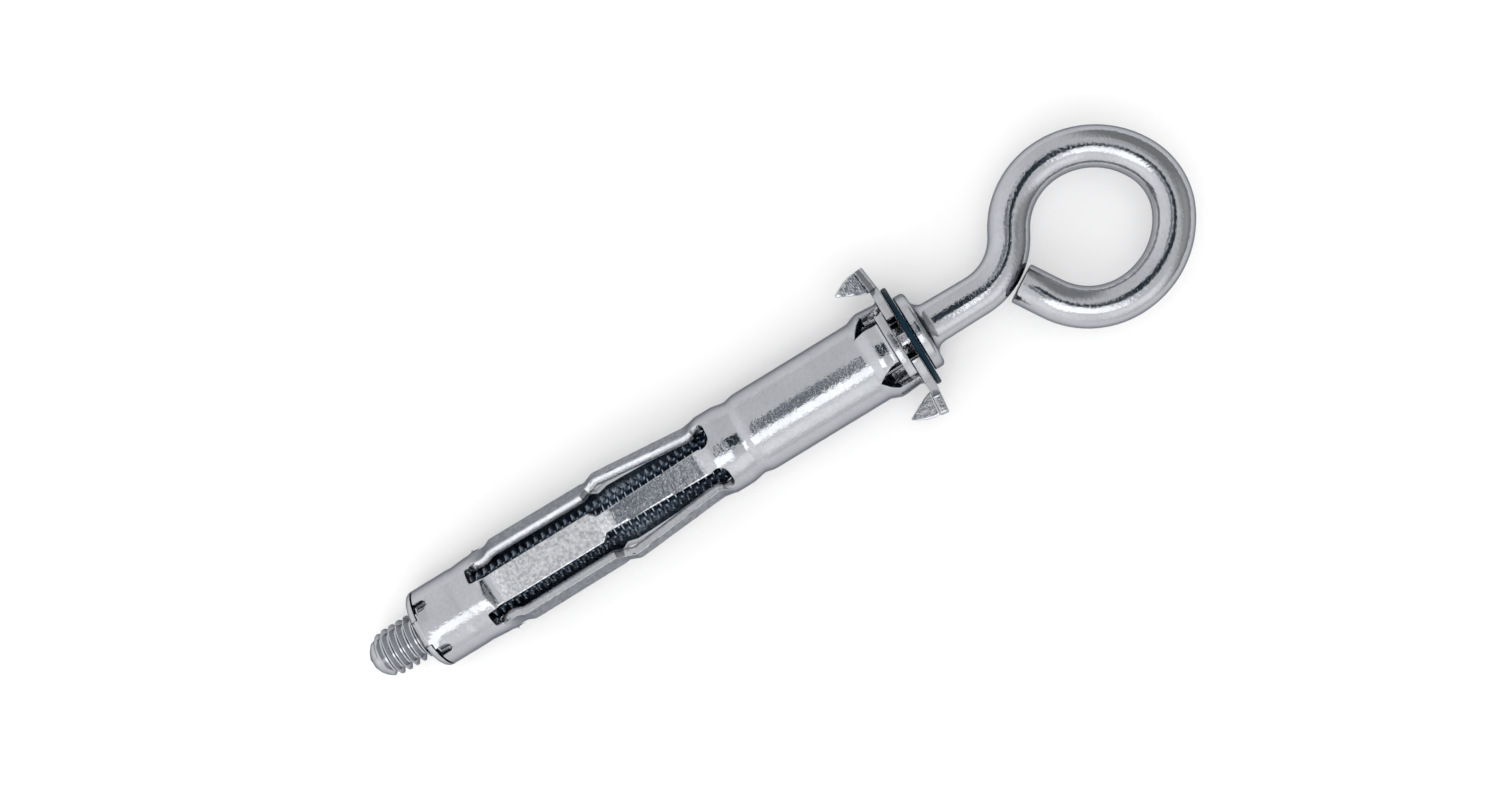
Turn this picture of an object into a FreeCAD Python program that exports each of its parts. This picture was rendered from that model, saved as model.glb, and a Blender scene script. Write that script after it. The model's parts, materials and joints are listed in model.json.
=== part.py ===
"""Hollow wall anchor: a slit sheet-steel sleeve with claws, its nut, a washer and a screw-in eye bolt.

Each piece is drawn lying along its own X axis, from its nut end towards the eye, and is then
placed in the pose in which the whole anchor comes to rest on a table.
"""
import FreeCAD, Part
import math
import os
import re
import Sketcher
from FreeCAD import Placement, Rotation, Vector

# Driving sizes in millimetres, degrees and counts
SIZES = [
    # sheet metal sleeve, measured along it from its nut end
    ("sheet", 0.70), ("sleeve_length", 45.5), ("tube_radius", 3.43), ("end_radius", 3.40),
    ("crease_at", 4.40), ("crease_depth", 0.10), ("crease_half", 0.45), ("seam_gap", 0.12),
    # five legs between slots: root, coined seat, first strip, waist, second strip
    ("leg_count", 5), ("slot_start", 5.85), ("slot_width", 1.50), ("root_length", 0.70),
    ("root_swell", 0.09), ("seat_slope", 0.50), ("seat_height", 3.22), ("seat_length", 0.60),
    ("ramp_length", 0.65), ("strip_one", 8.60), ("strip_one_height", 3.52), ("strip_one_far", 3.44),
    ("strip_one_width", 2.62), ("waist_length", 0.55), ("waist_height", 3.54), ("step_length", 0.90),
    ("hump_height", 3.90), ("strip_two", 8.20), ("strip_two_far", 3.06), ("strip_two_width", 2.06),
    ("waist_width", 1.52), ("neck_rise", 1.15), ("leg_bend", 0.45),
    # round ends of the slots and the groove behind them
    ("eye_slot_length", 1.60), ("eye_slot_width", 2.35), ("swell_length", 1.90),
    ("groove_half", 0.75), ("groove_depth", 0.22),
    # notches, petals and claws of the flange
    ("notch_depth", 2.20), ("notch_width", 1.55), ("neck_swell", 0.19), ("flange_radius", 4.90),
    ("petal_gap", 0.45), ("layer_gap", 0.04), ("petal_overlap", 16.0), ("bend_radius", 0.35),
    ("arm_reach", 6.52), ("arm_width", 2.70), ("arm_drop", 0.24), ("spike_base", 1.95),
    ("spike_length", 2.30), ("spike_lean", 0.12),
    # tabs folded over the nut, and the relief notches beside them
    ("tab_width", 2.25), ("relief_width", 0.95), ("relief_depth", 1.10), ("fit_gap", 0.03),
    # nut
    ("nut_length", 3.85), ("nut_head", 0.78), ("edge_gap", 0.07), ("nut_shoulder", 0.95),
    # bolt, measured along it from its tip; the thread is a plain cylinder at its pitch diameter
    ("thread_radius", 1.77), ("thread_gap", 0.03), ("bolt_length", 51.0), ("thread_length", 40.0),
    ("tip_radius", 0.75), ("tip_length", 0.95), ("wire_radius", 1.75), ("collar_radius", 3.31),
    ("collar_thick", 0.97), ("collar_round", 0.38), ("collar_fillet", 0.55),
    # eye of the bolt
    ("eye_wire", 1.68), ("neck_bend", 5.25), ("eye_reach", 15.97), ("eye_radius", 6.24), ("eye_side", 6.93),
    ("eye_nose", 5.34), ("eye_end_angle", 31.7), ("eye_end_run", 2.76),
    # washer
    ("washer_radius", 4.36), ("washer_thick", 0.48), ("washer_gap", 0.03), ("washer_play", 0.33),
    ("washer_round", 0.12),
]

# Places along the sleeve that follow from those sizes
SLEEVE_EDGE = "nut_head + edge_gap"
SEAT = "slot_start + root_length + seat_slope"
RAMP = f"{SEAT} + seat_length"
STRIP_ONE = f"{RAMP} + ramp_length"
WAIST = f"{STRIP_ONE} + strip_one"
STEP = f"{WAIST} + waist_length"
STRIP_TWO = f"{STEP} + step_length"
LEG_END = f"{STRIP_TWO} + strip_two"
SLOT_EYE = f"{LEG_END} + eye_slot_length / 2"
TUBE_START = f"{LEG_END} + neck_rise"
SWELL_END = f"{TUBE_START} + swell_length"
GROOVE = f"{SWELL_END} + groove_half"
UPPER_LAYER = "sleeve_length - sheet"
LOWER_LAYER = "sleeve_length - 2 * sheet - layer_gap"
NOTCH_TIP = f"{LOWER_LAYER} - notch_depth"
COLLAR_SEAT = "sleeve_length + washer_thick + 2 * washer_gap"
BOLT_TIP = f"{COLLAR_SEAT} - bolt_length"
OUTER_SWELL = "end_radius + root_swell"
NECK_RADIUS = "tube_radius + neck_swell"

doc = FreeCAD.newDocument("wall_anchor")
sheet = doc.addObject("Spreadsheet::Sheet", "Sizes")
for row, (alias, number) in enumerate(SIZES, start=1):
    sheet.set(f"A{row}", alias.replace("_", " "))
    sheet.set(f"B{row}", str(number))
    sheet.setAlias(f"B{row}", alias)
doc.recompute()
ALIASES = {alias for alias, number in SIZES}


def formula(text):
    """The text with each size's alias written as a reference to its cell."""
    return re.sub(r"[a-z_]+", lambda word: f"Sizes.{word[0]}" if word[0] in ALIASES else word[0], str(text))


def size(text):
    """The number that a formula of the sizes gives now."""
    result = sheet.evalExpression(formula(text))
    return float(getattr(result, "Value", result))


def bind(feature, **properties):
    """Bind properties of a feature to formulas of the sizes."""
    for name, text in properties.items():
        feature.setExpression(name, formula(text))


def origin_feature(body, role):
    """A plane or axis of the body's own origin."""
    return next(item for item in body.Origin.OriginFeatures if item.Role == role)


def new_body(name):
    """An empty body whose label names the piece."""
    body = doc.addObject("PartDesign::Body", name)
    body.Label = name
    return body


def new_sketch(body, name, plane, turn=0.0, offset="0"):
    """A sketch on an origin plane, turned about the X axis in degrees, or raised by an offset."""
    sketch = body.newObject("Sketcher::SketchObject", name)
    sketch.AttachmentSupport = [(origin_feature(body, plane), "")]
    sketch.MapMode = "FlatFace"
    if turn:
        sketch.AttachmentOffset = Placement(Vector(), Rotation(Vector(1, 0, 0), turn))
    if offset != "0":
        sketch.setExpression("AttachmentOffset.Base.z", formula(offset))
    return sketch


def fix_point(sketch, geometry, end, across, up):
    """Hold a point of the sketch at formulas of the sizes."""
    for kind, axis, text in (("DistanceX", -2, across), ("DistanceY", -1, up)):
        if abs(size(text)) < 1e-9:
            sketch.addConstraint(Sketcher.Constraint("PointOnObject", geometry, end, axis))
            continue
        index = sketch.addConstraint(Sketcher.Constraint(kind, -1, 1, geometry, end, size(text)))
        sketch.setExpression(f"Constraints[{index}]", formula(text))


def outline(sketch, corners):
    """Draw one closed outline. Each corner is (across, up) or (across, up, rounding), as formulas."""
    count = len(corners)
    points = [Vector(size(corner[0]), size(corner[1]), 0) for corner in corners]
    cuts = [0.0] * count
    for i, corner in enumerate(corners):
        if len(corner) > 2:
            back = points[i - 1] - points[i]
            ahead = points[(i + 1) % count] - points[i]
            cuts[i] = size(corner[2]) / math.tan(back.getAngle(ahead) / 2)
    lines = []
    for i in range(count):
        start, end = points[i], points[(i + 1) % count]
        along = (end - start).normalize()
        line = Part.LineSegment(start + along * cuts[i], end - along * cuts[(i + 1) % count])
        lines.append(sketch.addGeometry(line, False))
    for i, corner in enumerate(corners):
        before, after = lines[i - 1], lines[i]
        if len(corner) < 3:
            sketch.addConstraint(Sketcher.Constraint("Coincident", before, 2, after, 1))
            fix_point(sketch, after, 1, corner[0], corner[1])
            continue
        radius = size(corner[2])
        back = (points[i - 1] - points[i]).normalize()
        ahead = (points[(i + 1) % count] - points[i]).normalize()
        middle = (back + ahead).normalize()
        centre = points[i] + middle * (radius / math.sin(back.getAngle(ahead) / 2))
        start, end = points[i] + back * cuts[i], points[i] + ahead * cuts[i]
        turns_left = back.cross(ahead).z < 0
        first, last = (start, end) if turns_left else (end, start)
        circle = Part.Circle(centre, Vector(0, 0, 1), radius)
        arc = Part.ArcOfCircle(circle, circle.parameter(first), circle.parameter(last))
        arc_id = sketch.addGeometry(arc, False)
        corner_id = sketch.addGeometry(Part.Point(points[i]), True)
        fix_point(sketch, corner_id, 1, corner[0], corner[1])
        near, far = (1, 2) if turns_left else (2, 1)
        index = sketch.addConstraint([
            Sketcher.Constraint("PointOnObject", corner_id, 1, before),
            Sketcher.Constraint("PointOnObject", corner_id, 1, after),
            Sketcher.Constraint("Tangent", before, 2, arc_id, near),
            Sketcher.Constraint("Tangent", after, 1, arc_id, far),
            Sketcher.Constraint("Radius", arc_id, radius)])[-1]
        sketch.setExpression(f"Constraints[{index}]", formula(corner[2]))


def revolve(body, name, corners, turn=0.0, angle="360"):
    """Revolve an outline drawn beside the X axis, half its angle to either side."""
    sketch = new_sketch(body, name + "_section", "XZ_Plane", turn)
    outline(sketch, corners)
    feature = body.newObject("PartDesign::Revolution", name)
    feature.Profile = sketch
    feature.ReferenceAxis = (sketch, ["H_Axis"])
    feature.Midplane = True
    bind(feature, Angle=angle)
    doc.recompute()
    return feature


def pad(body, name, sketch, length, symmetric=False):
    """Pad a sketch by a length, upwards or to both sides."""
    feature = body.newObject("PartDesign::Pad", name)
    feature.Profile = sketch
    if symmetric:
        feature.SideType = "Symmetric"
    bind(feature, Length=length)
    doc.recompute()
    return feature


def pocket(body, name, sketch, length, upwards=False):
    """Cut a sketch into the body, downwards from its plane or upwards."""
    before = body.Shape.Volume
    feature = body.newObject("PartDesign::Pocket", name)
    feature.Profile = sketch
    feature.Reversed = upwards
    bind(feature, Length=length)
    doc.recompute()
    if not body.Shape.Volume < before:
        raise RuntimeError(f"{name} cuts nothing")
    return feature


def around(body, name, features, count="leg_count", angle="360", backwards=False):
    """Repeat features about the X axis."""
    feature = body.newObject("PartDesign::PolarPattern", name)
    feature.Originals = features
    feature.Axis = (origin_feature(body, "X_Axis"), [""])
    feature.Reversed = backwards
    bind(feature, Angle=angle, Occurrences=count)
    body.Tip = feature
    doc.recompute()
    return feature


def rectangle(sketch, x_from, x_to, y_from, y_to):
    """Draw a rectangle between formulas of the sizes."""
    outline(sketch, [(x_from, y_from), (x_to, y_from), (x_to, y_to), (x_from, y_to)])


def oval(sketch, at, length, width):
    """Draw an oval across the X axis: two half rounds joined by straight sides."""
    half = f"({length}) / 2"
    side = f"({width}) / 2"
    rounding = f"({length}) * 0.49"
    outline(sketch, [(f"{at} - {half}", f"-({side})", rounding), (f"{at} + {half}", f"-({side})", rounding),
                     (f"{at} + {half}", side, rounding), (f"{at} - {half}", side, rounding)])


def wall(outer, thickness="sheet"):
    """Close an outer line of (along, height[, rounding]) into a strip one sheet thick below it."""
    under = [(along, f"{height} - {thickness}", *rounding) for along, height, *rounding in reversed(outer)]
    return list(outer) + under


def make_legs(body):
    """The five legs: bent strips that fold outwards when the bolt is tightened."""
    side = new_sketch(body, "leg_side", "XZ_Plane")
    outline(side, wall([
        (f"{SEAT} + 0.05", "seat_height"), (RAMP, "seat_height", "leg_bend"),
        (STRIP_ONE, "strip_one_height", "leg_bend"), (WAIST, "strip_one_far", "leg_bend"),
        (STEP, "waist_height", "leg_bend"), (STRIP_TWO, "hump_height", "leg_bend"),
        (LEG_END, "strip_two_far", "leg_bend"), (TUBE_START, "tube_radius - 0.03", "leg_bend"),
        (f"{TUBE_START} + 0.6", "tube_radius - 0.03")]))
    leg = pad(body, "leg", side, "strip_one_width", symmetric=True)
    plan = new_sketch(body, "leg_plan", "XY_Plane")
    beyond = "strip_one_width"
    for way in ("", "-"):
        corners = [(f"{WAIST} - 0.1", f"{way}strip_one_width / 2 + {way}0.01"),
                   (STEP, f"{way}waist_width / 2"), (LEG_END, f"{way}strip_two_width / 2"),
                   (f"{TUBE_START} + 1", f"{way}strip_two_width / 2"),
                   (f"{TUBE_START} + 1", f"{way}{beyond}"), (f"{WAIST} - 0.1", f"{way}{beyond}")]
        outline(plan, corners)
    waist = pocket(body, "leg_waist", plan, "hump_height + 1", upwards=True)
    around(body, "legs", [leg, waist])


def make_sleeve():
    """The sleeve: one rolled and slit piece of sheet, from the tabs on the nut to the claws."""
    body = new_body("sleeve")
    revolve(body, "nut_end", wall([
        (SLEEVE_EDGE, "end_radius"), ("crease_at - crease_half", "end_radius"),
        ("crease_at", "end_radius - crease_depth"), ("slot_start", OUTER_SWELL),
        ("slot_start + root_length", OUTER_SWELL), (SEAT, "seat_height + 0.04"),
        (f"{RAMP} + 0.1", "seat_height + 0.04")]))
    make_legs(body)
    revolve(body, "tube", wall([
        (SLOT_EYE, "tube_radius - 0.06"), (TUBE_START, "tube_radius + 0.03"), (SWELL_END, "tube_radius + 0.03"),
        (GROOVE, "tube_radius - groove_depth"), (f"{GROOVE} + groove_half", "tube_radius"),
        (f"{NOTCH_TIP} - 1", "tube_radius")]))
    upper_petals(body)
    lower_petal(body)
    cut_sheet(body)
    make_claws(body)
    fold_tabs(body)
    return body


def petal_section(underside):
    """The section of a petal: the tube wall swells, then turns outwards at an underside."""
    topside = f"{underside} + sheet"
    return [
        (f"{NOTCH_TIP} - 2", "tube_radius"), (NOTCH_TIP, "tube_radius"),
        (f"{NOTCH_TIP} + 0.9", NECK_RADIUS), (underside, NECK_RADIUS, "bend_radius"),
        (underside, "flange_radius"), (topside, "flange_radius"),
        (topside, f"{NECK_RADIUS} - sheet", "bend_radius + sheet"),
        (f"{NOTCH_TIP} + 0.9", f"{NECK_RADIUS} - sheet"),
        (NOTCH_TIP, "tube_radius - sheet"), (f"{NOTCH_TIP} - 2", "tube_radius - sheet")]


def upper_petals(body):
    """All petals but the front one, bent outwards in the upper layer of the flange."""
    revolve(body, "petals", petal_section(UPPER_LAYER), turn=180, angle="360 - 360 / leg_count")


def lower_petal(body):
    """The front petal, pressed flat one layer lower than the rest."""
    revolve(body, "front_petal", petal_section(LOWER_LAYER), angle="360 / leg_count")


def cut_sheet(body):
    """Everything that was punched out of the sheet, each cut at the same five places."""
    far = "flange_radius + 1"
    slot = new_sketch(body, "slot_plan", "XY_Plane")
    rectangle(slot, "slot_start", f"{RAMP} + 0.4", "-slot_width / 2", "slot_width / 2")
    slots = pocket(body, "slot", slot, far)
    eye = new_sketch(body, "slot_eye_plan", "XY_Plane")
    oval(eye, SLOT_EYE, "eye_slot_length", "eye_slot_width")
    eyes = pocket(body, "slot_eye", eye, far)
    relief = new_sketch(body, "relief_plan", "XY_Plane")
    outline(relief, [(f"{SLEEVE_EDGE} - 0.5", "-relief_width / 2"),
                     (f"{SLEEVE_EDGE} + relief_depth", "-relief_width / 2", "relief_width * 0.45"),
                     (f"{SLEEVE_EDGE} + relief_depth", "relief_width / 2", "relief_width * 0.45"),
                     (f"{SLEEVE_EDGE} - 0.5", "relief_width / 2")])
    reliefs = pocket(body, "relief", relief, far)
    notch = new_sketch(body, "notch_plan", "XY_Plane")
    outline(notch, [(NOTCH_TIP, "0"), (LOWER_LAYER, "-notch_width / 2"), ("sleeve_length + 1", "-notch_width / 2"),
                    ("sleeve_length + 1", "notch_width / 2"), (LOWER_LAYER, "notch_width / 2")])
    notches = pocket(body, "notch", notch, f"{NECK_RADIUS} + bend_radius")
    gap = new_sketch(body, "petal_gap_plan", "XY_Plane")
    rectangle(gap, f"{LOWER_LAYER} - 0.2", "sleeve_length + 1", "-petal_gap / 2", "petal_gap / 2")
    gaps = pocket(body, "petal_gaps", gap, far)
    around(body, "cuts", [slots, eyes, reliefs, notches, gaps])
    seam = new_sketch(body, "seam_plan", "XY_Plane")
    rectangle(seam, "0", "sleeve_length + 1", "-seam_gap / 2", "seam_gap / 2")
    pocket(body, "seam", seam, far)


def make_claws(body):
    """Two arms on opposite petals, each with a spike folded down along one edge."""
    overlap = [(UPPER_LAYER, f"{NECK_RADIUS} + bend_radius"), (UPPER_LAYER, "flange_radius"),
               ("sleeve_length", "flange_radius"), ("sleeve_length", f"{NECK_RADIUS} + bend_radius")]
    middle = 180 / size("leg_count") - (size("petal_overlap") - 5) / 2
    revolve(body, "overlap", overlap, turn=middle, angle="petal_overlap + 5")
    side = new_sketch(body, "arm_side", "XY_Plane", offset="-arm_width / 2")
    outline(side, [
        (UPPER_LAYER, f"{NECK_RADIUS} + bend_radius"), (UPPER_LAYER, "flange_radius - 0.4"),
        (f"{UPPER_LAYER} - arm_drop", "arm_reach"), ("sleeve_length - arm_drop", "arm_reach", "sheet / 2"),
        ("sleeve_length", "flange_radius - 0.4"), ("sleeve_length", f"{NECK_RADIUS} + bend_radius")])
    arm = pad(body, "arm", side, "arm_width")
    face = new_sketch(body, "spike_side", "XY_Plane", offset="arm_width / 2 - sheet")
    root = f"{UPPER_LAYER} - arm_drop + sheet / 2"
    outline(face, [(root, "arm_reach - spike_base"), (root, "arm_reach"),
                   (f"{UPPER_LAYER} - arm_drop", "arm_reach"),
                   (f"{UPPER_LAYER} - spike_length", "arm_reach - spike_base / 2 + spike_lean"),
                   (f"{UPPER_LAYER} - arm_drop", "arm_reach - spike_base")])
    spike = pad(body, "spike", face, "sheet")
    around(body, "claws", [arm, spike], count="2")


TAB_BACK = f"{SLEEVE_EDGE} + relief_depth"
TAB_END = "thread_radius + 0.45"


def fold_tabs(body):
    """Three tabs that hold the nut: one in front and one to either side at the back."""
    side = new_sketch(body, "tab_side", "XZ_Plane")
    outline(side, [
        (f"{TAB_BACK} + 0.1", "end_radius"), ("nut_head * 0.8", "end_radius", "0.3"),
        ("nut_head * 0.25", "end_radius - 0.35", "0.2"), ("0", "end_radius - 0.85", "0.15"),
        ("0", TAB_END), ("sheet * 0.85", TAB_END), ("sheet * 0.85", "end_radius - sheet - 0.2"),
        (SLEEVE_EDGE, "end_radius - sheet"),
        (f"{TAB_BACK} + 0.1", "end_radius - sheet")])
    tab = pad(body, "tab", side, "tab_width", symmetric=True)
    for name, backwards in (("tabs_left", False), ("tabs_right", True)):
        around(body, name, [tab], count="2", angle="720 / leg_count", backwards=backwards)


def make_nut():
    """The nut: a domed head with three recesses for the tabs, and a barrel inside the sleeve."""
    body = new_body("nut")
    bore = "thread_radius + thread_gap"
    barrel = "end_radius - sheet - fit_gap"
    revolve(body, "barrel", [
        ("0", bore), ("0", "end_radius - nut_shoulder"),
        ("nut_head * 0.18", "end_radius - nut_shoulder * 0.48"),
        ("nut_head * 0.45", "end_radius - nut_shoulder * 0.16"), ("nut_head * 0.8", "end_radius"),
        ("nut_head", "end_radius"), ("nut_head", barrel),
        ("nut_length", barrel), ("nut_length", bore)])
    side = new_sketch(body, "recess_side", "XZ_Plane")
    outline(side, [
        ("-0.2", f"{TAB_END} - fit_gap"), ("sheet * 0.85 + fit_gap", f"{TAB_END} - fit_gap"),
        ("sheet * 0.85 + fit_gap", "end_radius - sheet - 0.2 - fit_gap"),
        (f"{SLEEVE_EDGE} + fit_gap", barrel), (f"{SLEEVE_EDGE} + fit_gap", "end_radius + 1"),
        ("-0.2", "end_radius + 1")])
    before = body.Shape.Volume
    recess = body.newObject("PartDesign::Pocket", "recess")
    recess.Profile = side
    recess.SideType = "Symmetric"
    bind(recess, Length="tab_width + 2 * fit_gap")
    doc.recompute()
    if not body.Shape.Volume < before:
        raise RuntimeError("recess cuts nothing")
    for name, backwards in (("recesses_left", False), ("recesses_right", True)):
        around(body, name, [recess], count="2", angle="720 / leg_count", backwards=backwards)
    return body


def make_washer():
    """The washer: a thin moulded disc between the flange and the bolt's collar."""
    body = new_body("washer")
    hole = "thread_radius + washer_play"
    revolve(body, "disc", [
        ("0", hole), ("0", "washer_radius - washer_round"), ("washer_round", "washer_radius"),
        ("washer_thick - washer_round", "washer_radius"), ("washer_thick", "washer_radius - washer_round"),
        ("washer_thick", hole)])
    return body


def eye_path(body):
    """The centre line of the wire: straight out of the collar, one bend, then round the eye."""
    path = new_sketch(body, "eye_path", "XY_Plane")
    start = "bolt_length + collar_thick / 2"
    centre = Vector(size("bolt_length + eye_reach"), 0, 0)
    bend, ring, side, nose = size("neck_bend"), size("eye_radius"), size("eye_side"), size("eye_nose")
    run, lift = math.sqrt((bend + ring) ** 2 - bend ** 2), side - ring
    bend_centre = centre + Vector(-run, bend, 0)
    meet = bend_centre + (centre - bend_centre) * (bend / (bend + ring))
    nose_centre = centre + Vector(math.sqrt((side - nose) ** 2 - lift ** 2), 0, 0)
    upper, lower = centre + Vector(0, -lift, 0), centre + Vector(0, lift, 0)
    turn = math.atan2(lift, nose_centre.x - centre.x)
    end_angle = math.radians(-180 + size("eye_end_angle"))
    last = centre + Vector(math.cos(end_angle), math.sin(end_angle), 0) * ring
    out = Vector(math.sin(end_angle), -math.cos(end_angle), 0) * size("eye_end_run")

    def arc(middle, radius, first, second):
        circle = Part.Circle(middle, Vector(0, 0, 1), radius)
        return path.addGeometry(Part.ArcOfCircle(circle, first, second), False)

    bend_start = Vector(bend_centre.x, 0, 0)
    straight = path.addGeometry(Part.LineSegment(Vector(size(start), 0, 0), bend_start), False)
    meet_angle = math.atan2(meet.y - centre.y, meet.x - centre.x)
    arcs = [arc(bend_centre, bend, -math.pi / 2, meet_angle - math.pi),
            arc(centre, ring, math.pi / 2, meet_angle), arc(upper, side, turn, math.pi / 2),
            arc(nose_centre, nose, -turn, turn), arc(lower, side, -math.pi / 2, -turn),
            arc(centre, ring, end_angle, -math.pi / 2)]
    tail = path.addGeometry(Part.LineSegment(last, last + out), False)

    def hold(kind, *where, text=None):
        if text is None:
            return path.addConstraint(Sketcher.Constraint(kind, *where))
        index = path.addConstraint(Sketcher.Constraint(kind, *where, size(text)))
        path.setExpression(f"Constraints[{index}]", formula(text))
        return index

    hold("PointOnObject", straight, 1, -1)
    hold("PointOnObject", straight, 2, -1)
    hold("DistanceX", -1, 1, straight, 1, text=start)
    hold("Tangent", straight, 2, arcs[0], 1)
    hold("Tangent", arcs[0], 2, arcs[1], 2)
    for before, after in zip(arcs[1:], arcs[2:]):
        hold("Tangent", before, 1, after, 2)
    hold("Tangent", arcs[5], 1, tail, 1)
    for geometry, text in zip(arcs[:4], ("neck_bend", "eye_radius", "eye_side", "eye_nose")):
        hold("Radius", geometry, text=text)
    hold("Equal", arcs[2], arcs[4])
    hold("Coincident", arcs[1], 3, arcs[5], 3)
    hold("PointOnObject", arcs[1], 3, -1)
    hold("DistanceX", -1, 1, arcs[1], 3, text="bolt_length + eye_reach")
    hold("Vertical", arcs[1], 3, arcs[1], 1)
    hold("PointOnObject", arcs[3], 3, -1)
    hold("Distance", tail, text="eye_end_run")
    hold("DistanceY", arcs[5], 1, arcs[5], 3, text="eye_radius * sin(eye_end_angle)")
    return path, start


def make_bolt():
    """The eye bolt: rolled thread, blank shank, upset collar and a bent eye, all one piece."""
    body = new_body("eye_bolt")
    revolve(body, "stem", [
        ("0", "0"), ("0", "tip_radius", "tip_radius"), ("tip_length", "thread_radius - 0.2", "0.8"),
        ("2 * tip_length", "thread_radius"), ("thread_length", "thread_radius"),
        ("thread_length + 0.25", "wire_radius"), ("bolt_length", "wire_radius"),
        ("bolt_length", "collar_radius - 0.7 * collar_round"),
        ("bolt_length + 0.7 * collar_round", "collar_radius"),
        ("bolt_length + collar_thick - 0.7 * collar_round", "collar_radius"),
        ("bolt_length + collar_thick", "collar_radius - 0.7 * collar_round"),
        ("bolt_length + collar_thick", "wire_radius + 0.6 * collar_fillet"),
        ("bolt_length + collar_thick + 0.6 * collar_fillet", "wire_radius"),
        ("bolt_length + collar_thick + 3 * collar_fillet", "eye_wire + 0.01"),
        ("bolt_length + collar_thick + 3 * collar_fillet", "0")])
    path, start = eye_path(body)
    ring = new_sketch(body, "wire_section", "YZ_Plane", offset=start)
    circle = ring.addGeometry(Part.Circle(Vector(), Vector(0, 0, 1), size("eye_wire")), False)
    ring.addConstraint(Sketcher.Constraint("Coincident", circle, 3, -1, 1))
    index = ring.addConstraint(Sketcher.Constraint("Radius", circle, size("eye_wire")))
    ring.setExpression(f"Constraints[{index}]", formula("eye_wire"))
    eye = body.newObject("PartDesign::AdditivePipe", "eye")
    eye.Profile = ring
    eye.Spine = (path, [])
    doc.recompute()
    return body


def lying_tilt():
    """The tilt, in degrees, at which the flange's edge and the first support near the nut touch."""
    def half_way(height, width):
        angle = math.pi / size("leg_count")
        return height * math.cos(angle) + width / 2 * math.sin(angle)

    flange_at = size(UPPER_LAYER)
    flange_depth = math.sqrt(size("flange_radius") ** 2 - (size("petal_gap") / 2) ** 2)
    supports = [
        (size("nut_head * 0.8"), size("end_radius")), (size("slot_start"), size(OUTER_SWELL)),
        (size(STRIP_ONE), half_way(size("strip_one_height"), size("strip_one_width"))),
        (size(STRIP_TWO), half_way(size("hump_height"), size("waist_width")))]
    return min(math.degrees(math.atan2(flange_depth - depth, flange_at - at)) for at, depth in supports)


def place(pieces):
    """Lay the pieces down in the pose of rest, with the origin under the middle of the whole."""
    tilt = Rotation(Vector(0, 1, 0), -lying_tilt())
    seats = {"sleeve": 0.0, "nut": 0.0, "washer": size("sleeve_length + washer_gap"), "eye_bolt": size(BOLT_TIP)}
    for piece in pieces:
        piece.Placement = Placement(tilt.multVec(Vector(seats[piece.Label], 0, 0)), tilt)
    box = FreeCAD.BoundBox()
    for piece in pieces:
        box.add(piece.Shape.optimalBoundingBox(False))
    shift = Vector(-box.Center.x, -box.Center.y, -box.ZMin)
    for piece in pieces:
        piece.Placement = Placement(piece.Placement.Base + shift, tilt)
    print("axis start", shift, "tilt", lying_tilt())


def check(pieces):
    """Stop if any object failed or any piece isn't one sound solid."""
    doc.recompute()
    for item in doc.Objects:
        if "Invalid" in item.State or "Error" in item.State:
            raise RuntimeError(f"{item.Name} failed: {item.State}")
    for piece in pieces:
        shape = piece.Shape
        if shape.isNull() or not shape.isValid() or len(shape.Solids) != 1:
            raise RuntimeError(f"{piece.Label} isn't one valid solid: {len(shape.Solids)}")


def main():
    """Build the pieces, lay them down, check them and write each to its own file."""
    pieces = [make_sleeve(), make_nut(), make_washer(), make_bolt()]
    place(pieces)
    check(pieces)
    os.makedirs("parts", exist_ok=True)
    for piece in pieces:
        piece.Shape.exportStep(f"parts/{piece.Label}.step")
        print(piece.Label, round(piece.Shape.Volume, 3))


main()
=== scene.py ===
"""Looks of a hollow wall anchor: plated sheet sleeve, nut, plastic washer and threaded eye bolt."""
import json
import logging
from dataclasses import dataclass
from enum import Enum
from math import atan2, ceil, cos, dist, hypot, inf, pi, radians, sin, sqrt, tan
from typing import Optional, Sequence

import bmesh
import bpy
from bmesh.types import BMEdge, BMesh, BMVert
from bpy.types import Material, Node, NodeSocket, NodeTree, Object
from mathutils import Matrix, Vector


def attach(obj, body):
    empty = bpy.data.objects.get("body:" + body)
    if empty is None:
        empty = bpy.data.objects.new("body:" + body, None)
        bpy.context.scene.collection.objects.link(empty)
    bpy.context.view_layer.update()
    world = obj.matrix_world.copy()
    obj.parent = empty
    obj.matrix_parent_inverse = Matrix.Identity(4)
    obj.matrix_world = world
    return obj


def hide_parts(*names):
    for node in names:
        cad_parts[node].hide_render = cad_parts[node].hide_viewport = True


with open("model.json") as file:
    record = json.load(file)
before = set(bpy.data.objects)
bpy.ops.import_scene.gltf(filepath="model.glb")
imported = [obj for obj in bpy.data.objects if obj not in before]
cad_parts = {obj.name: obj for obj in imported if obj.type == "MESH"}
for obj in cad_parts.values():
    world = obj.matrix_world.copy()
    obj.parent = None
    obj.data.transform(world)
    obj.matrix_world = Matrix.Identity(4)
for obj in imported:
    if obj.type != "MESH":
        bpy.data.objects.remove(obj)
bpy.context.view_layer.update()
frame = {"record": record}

LOG = logging.getLogger("wall_anchor")
MM = 0.001

Point = tuple[float, float]
Line = tuple[Point, ...]
Fold = tuple[float, float, float]


class Body(Enum):
    """The parts that move on their own: the sleeve with its nut, the washer, and the bolt."""

    ANCHOR = "anchor"
    WASHER = "washer"
    BOLT = "bolt"


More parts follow.
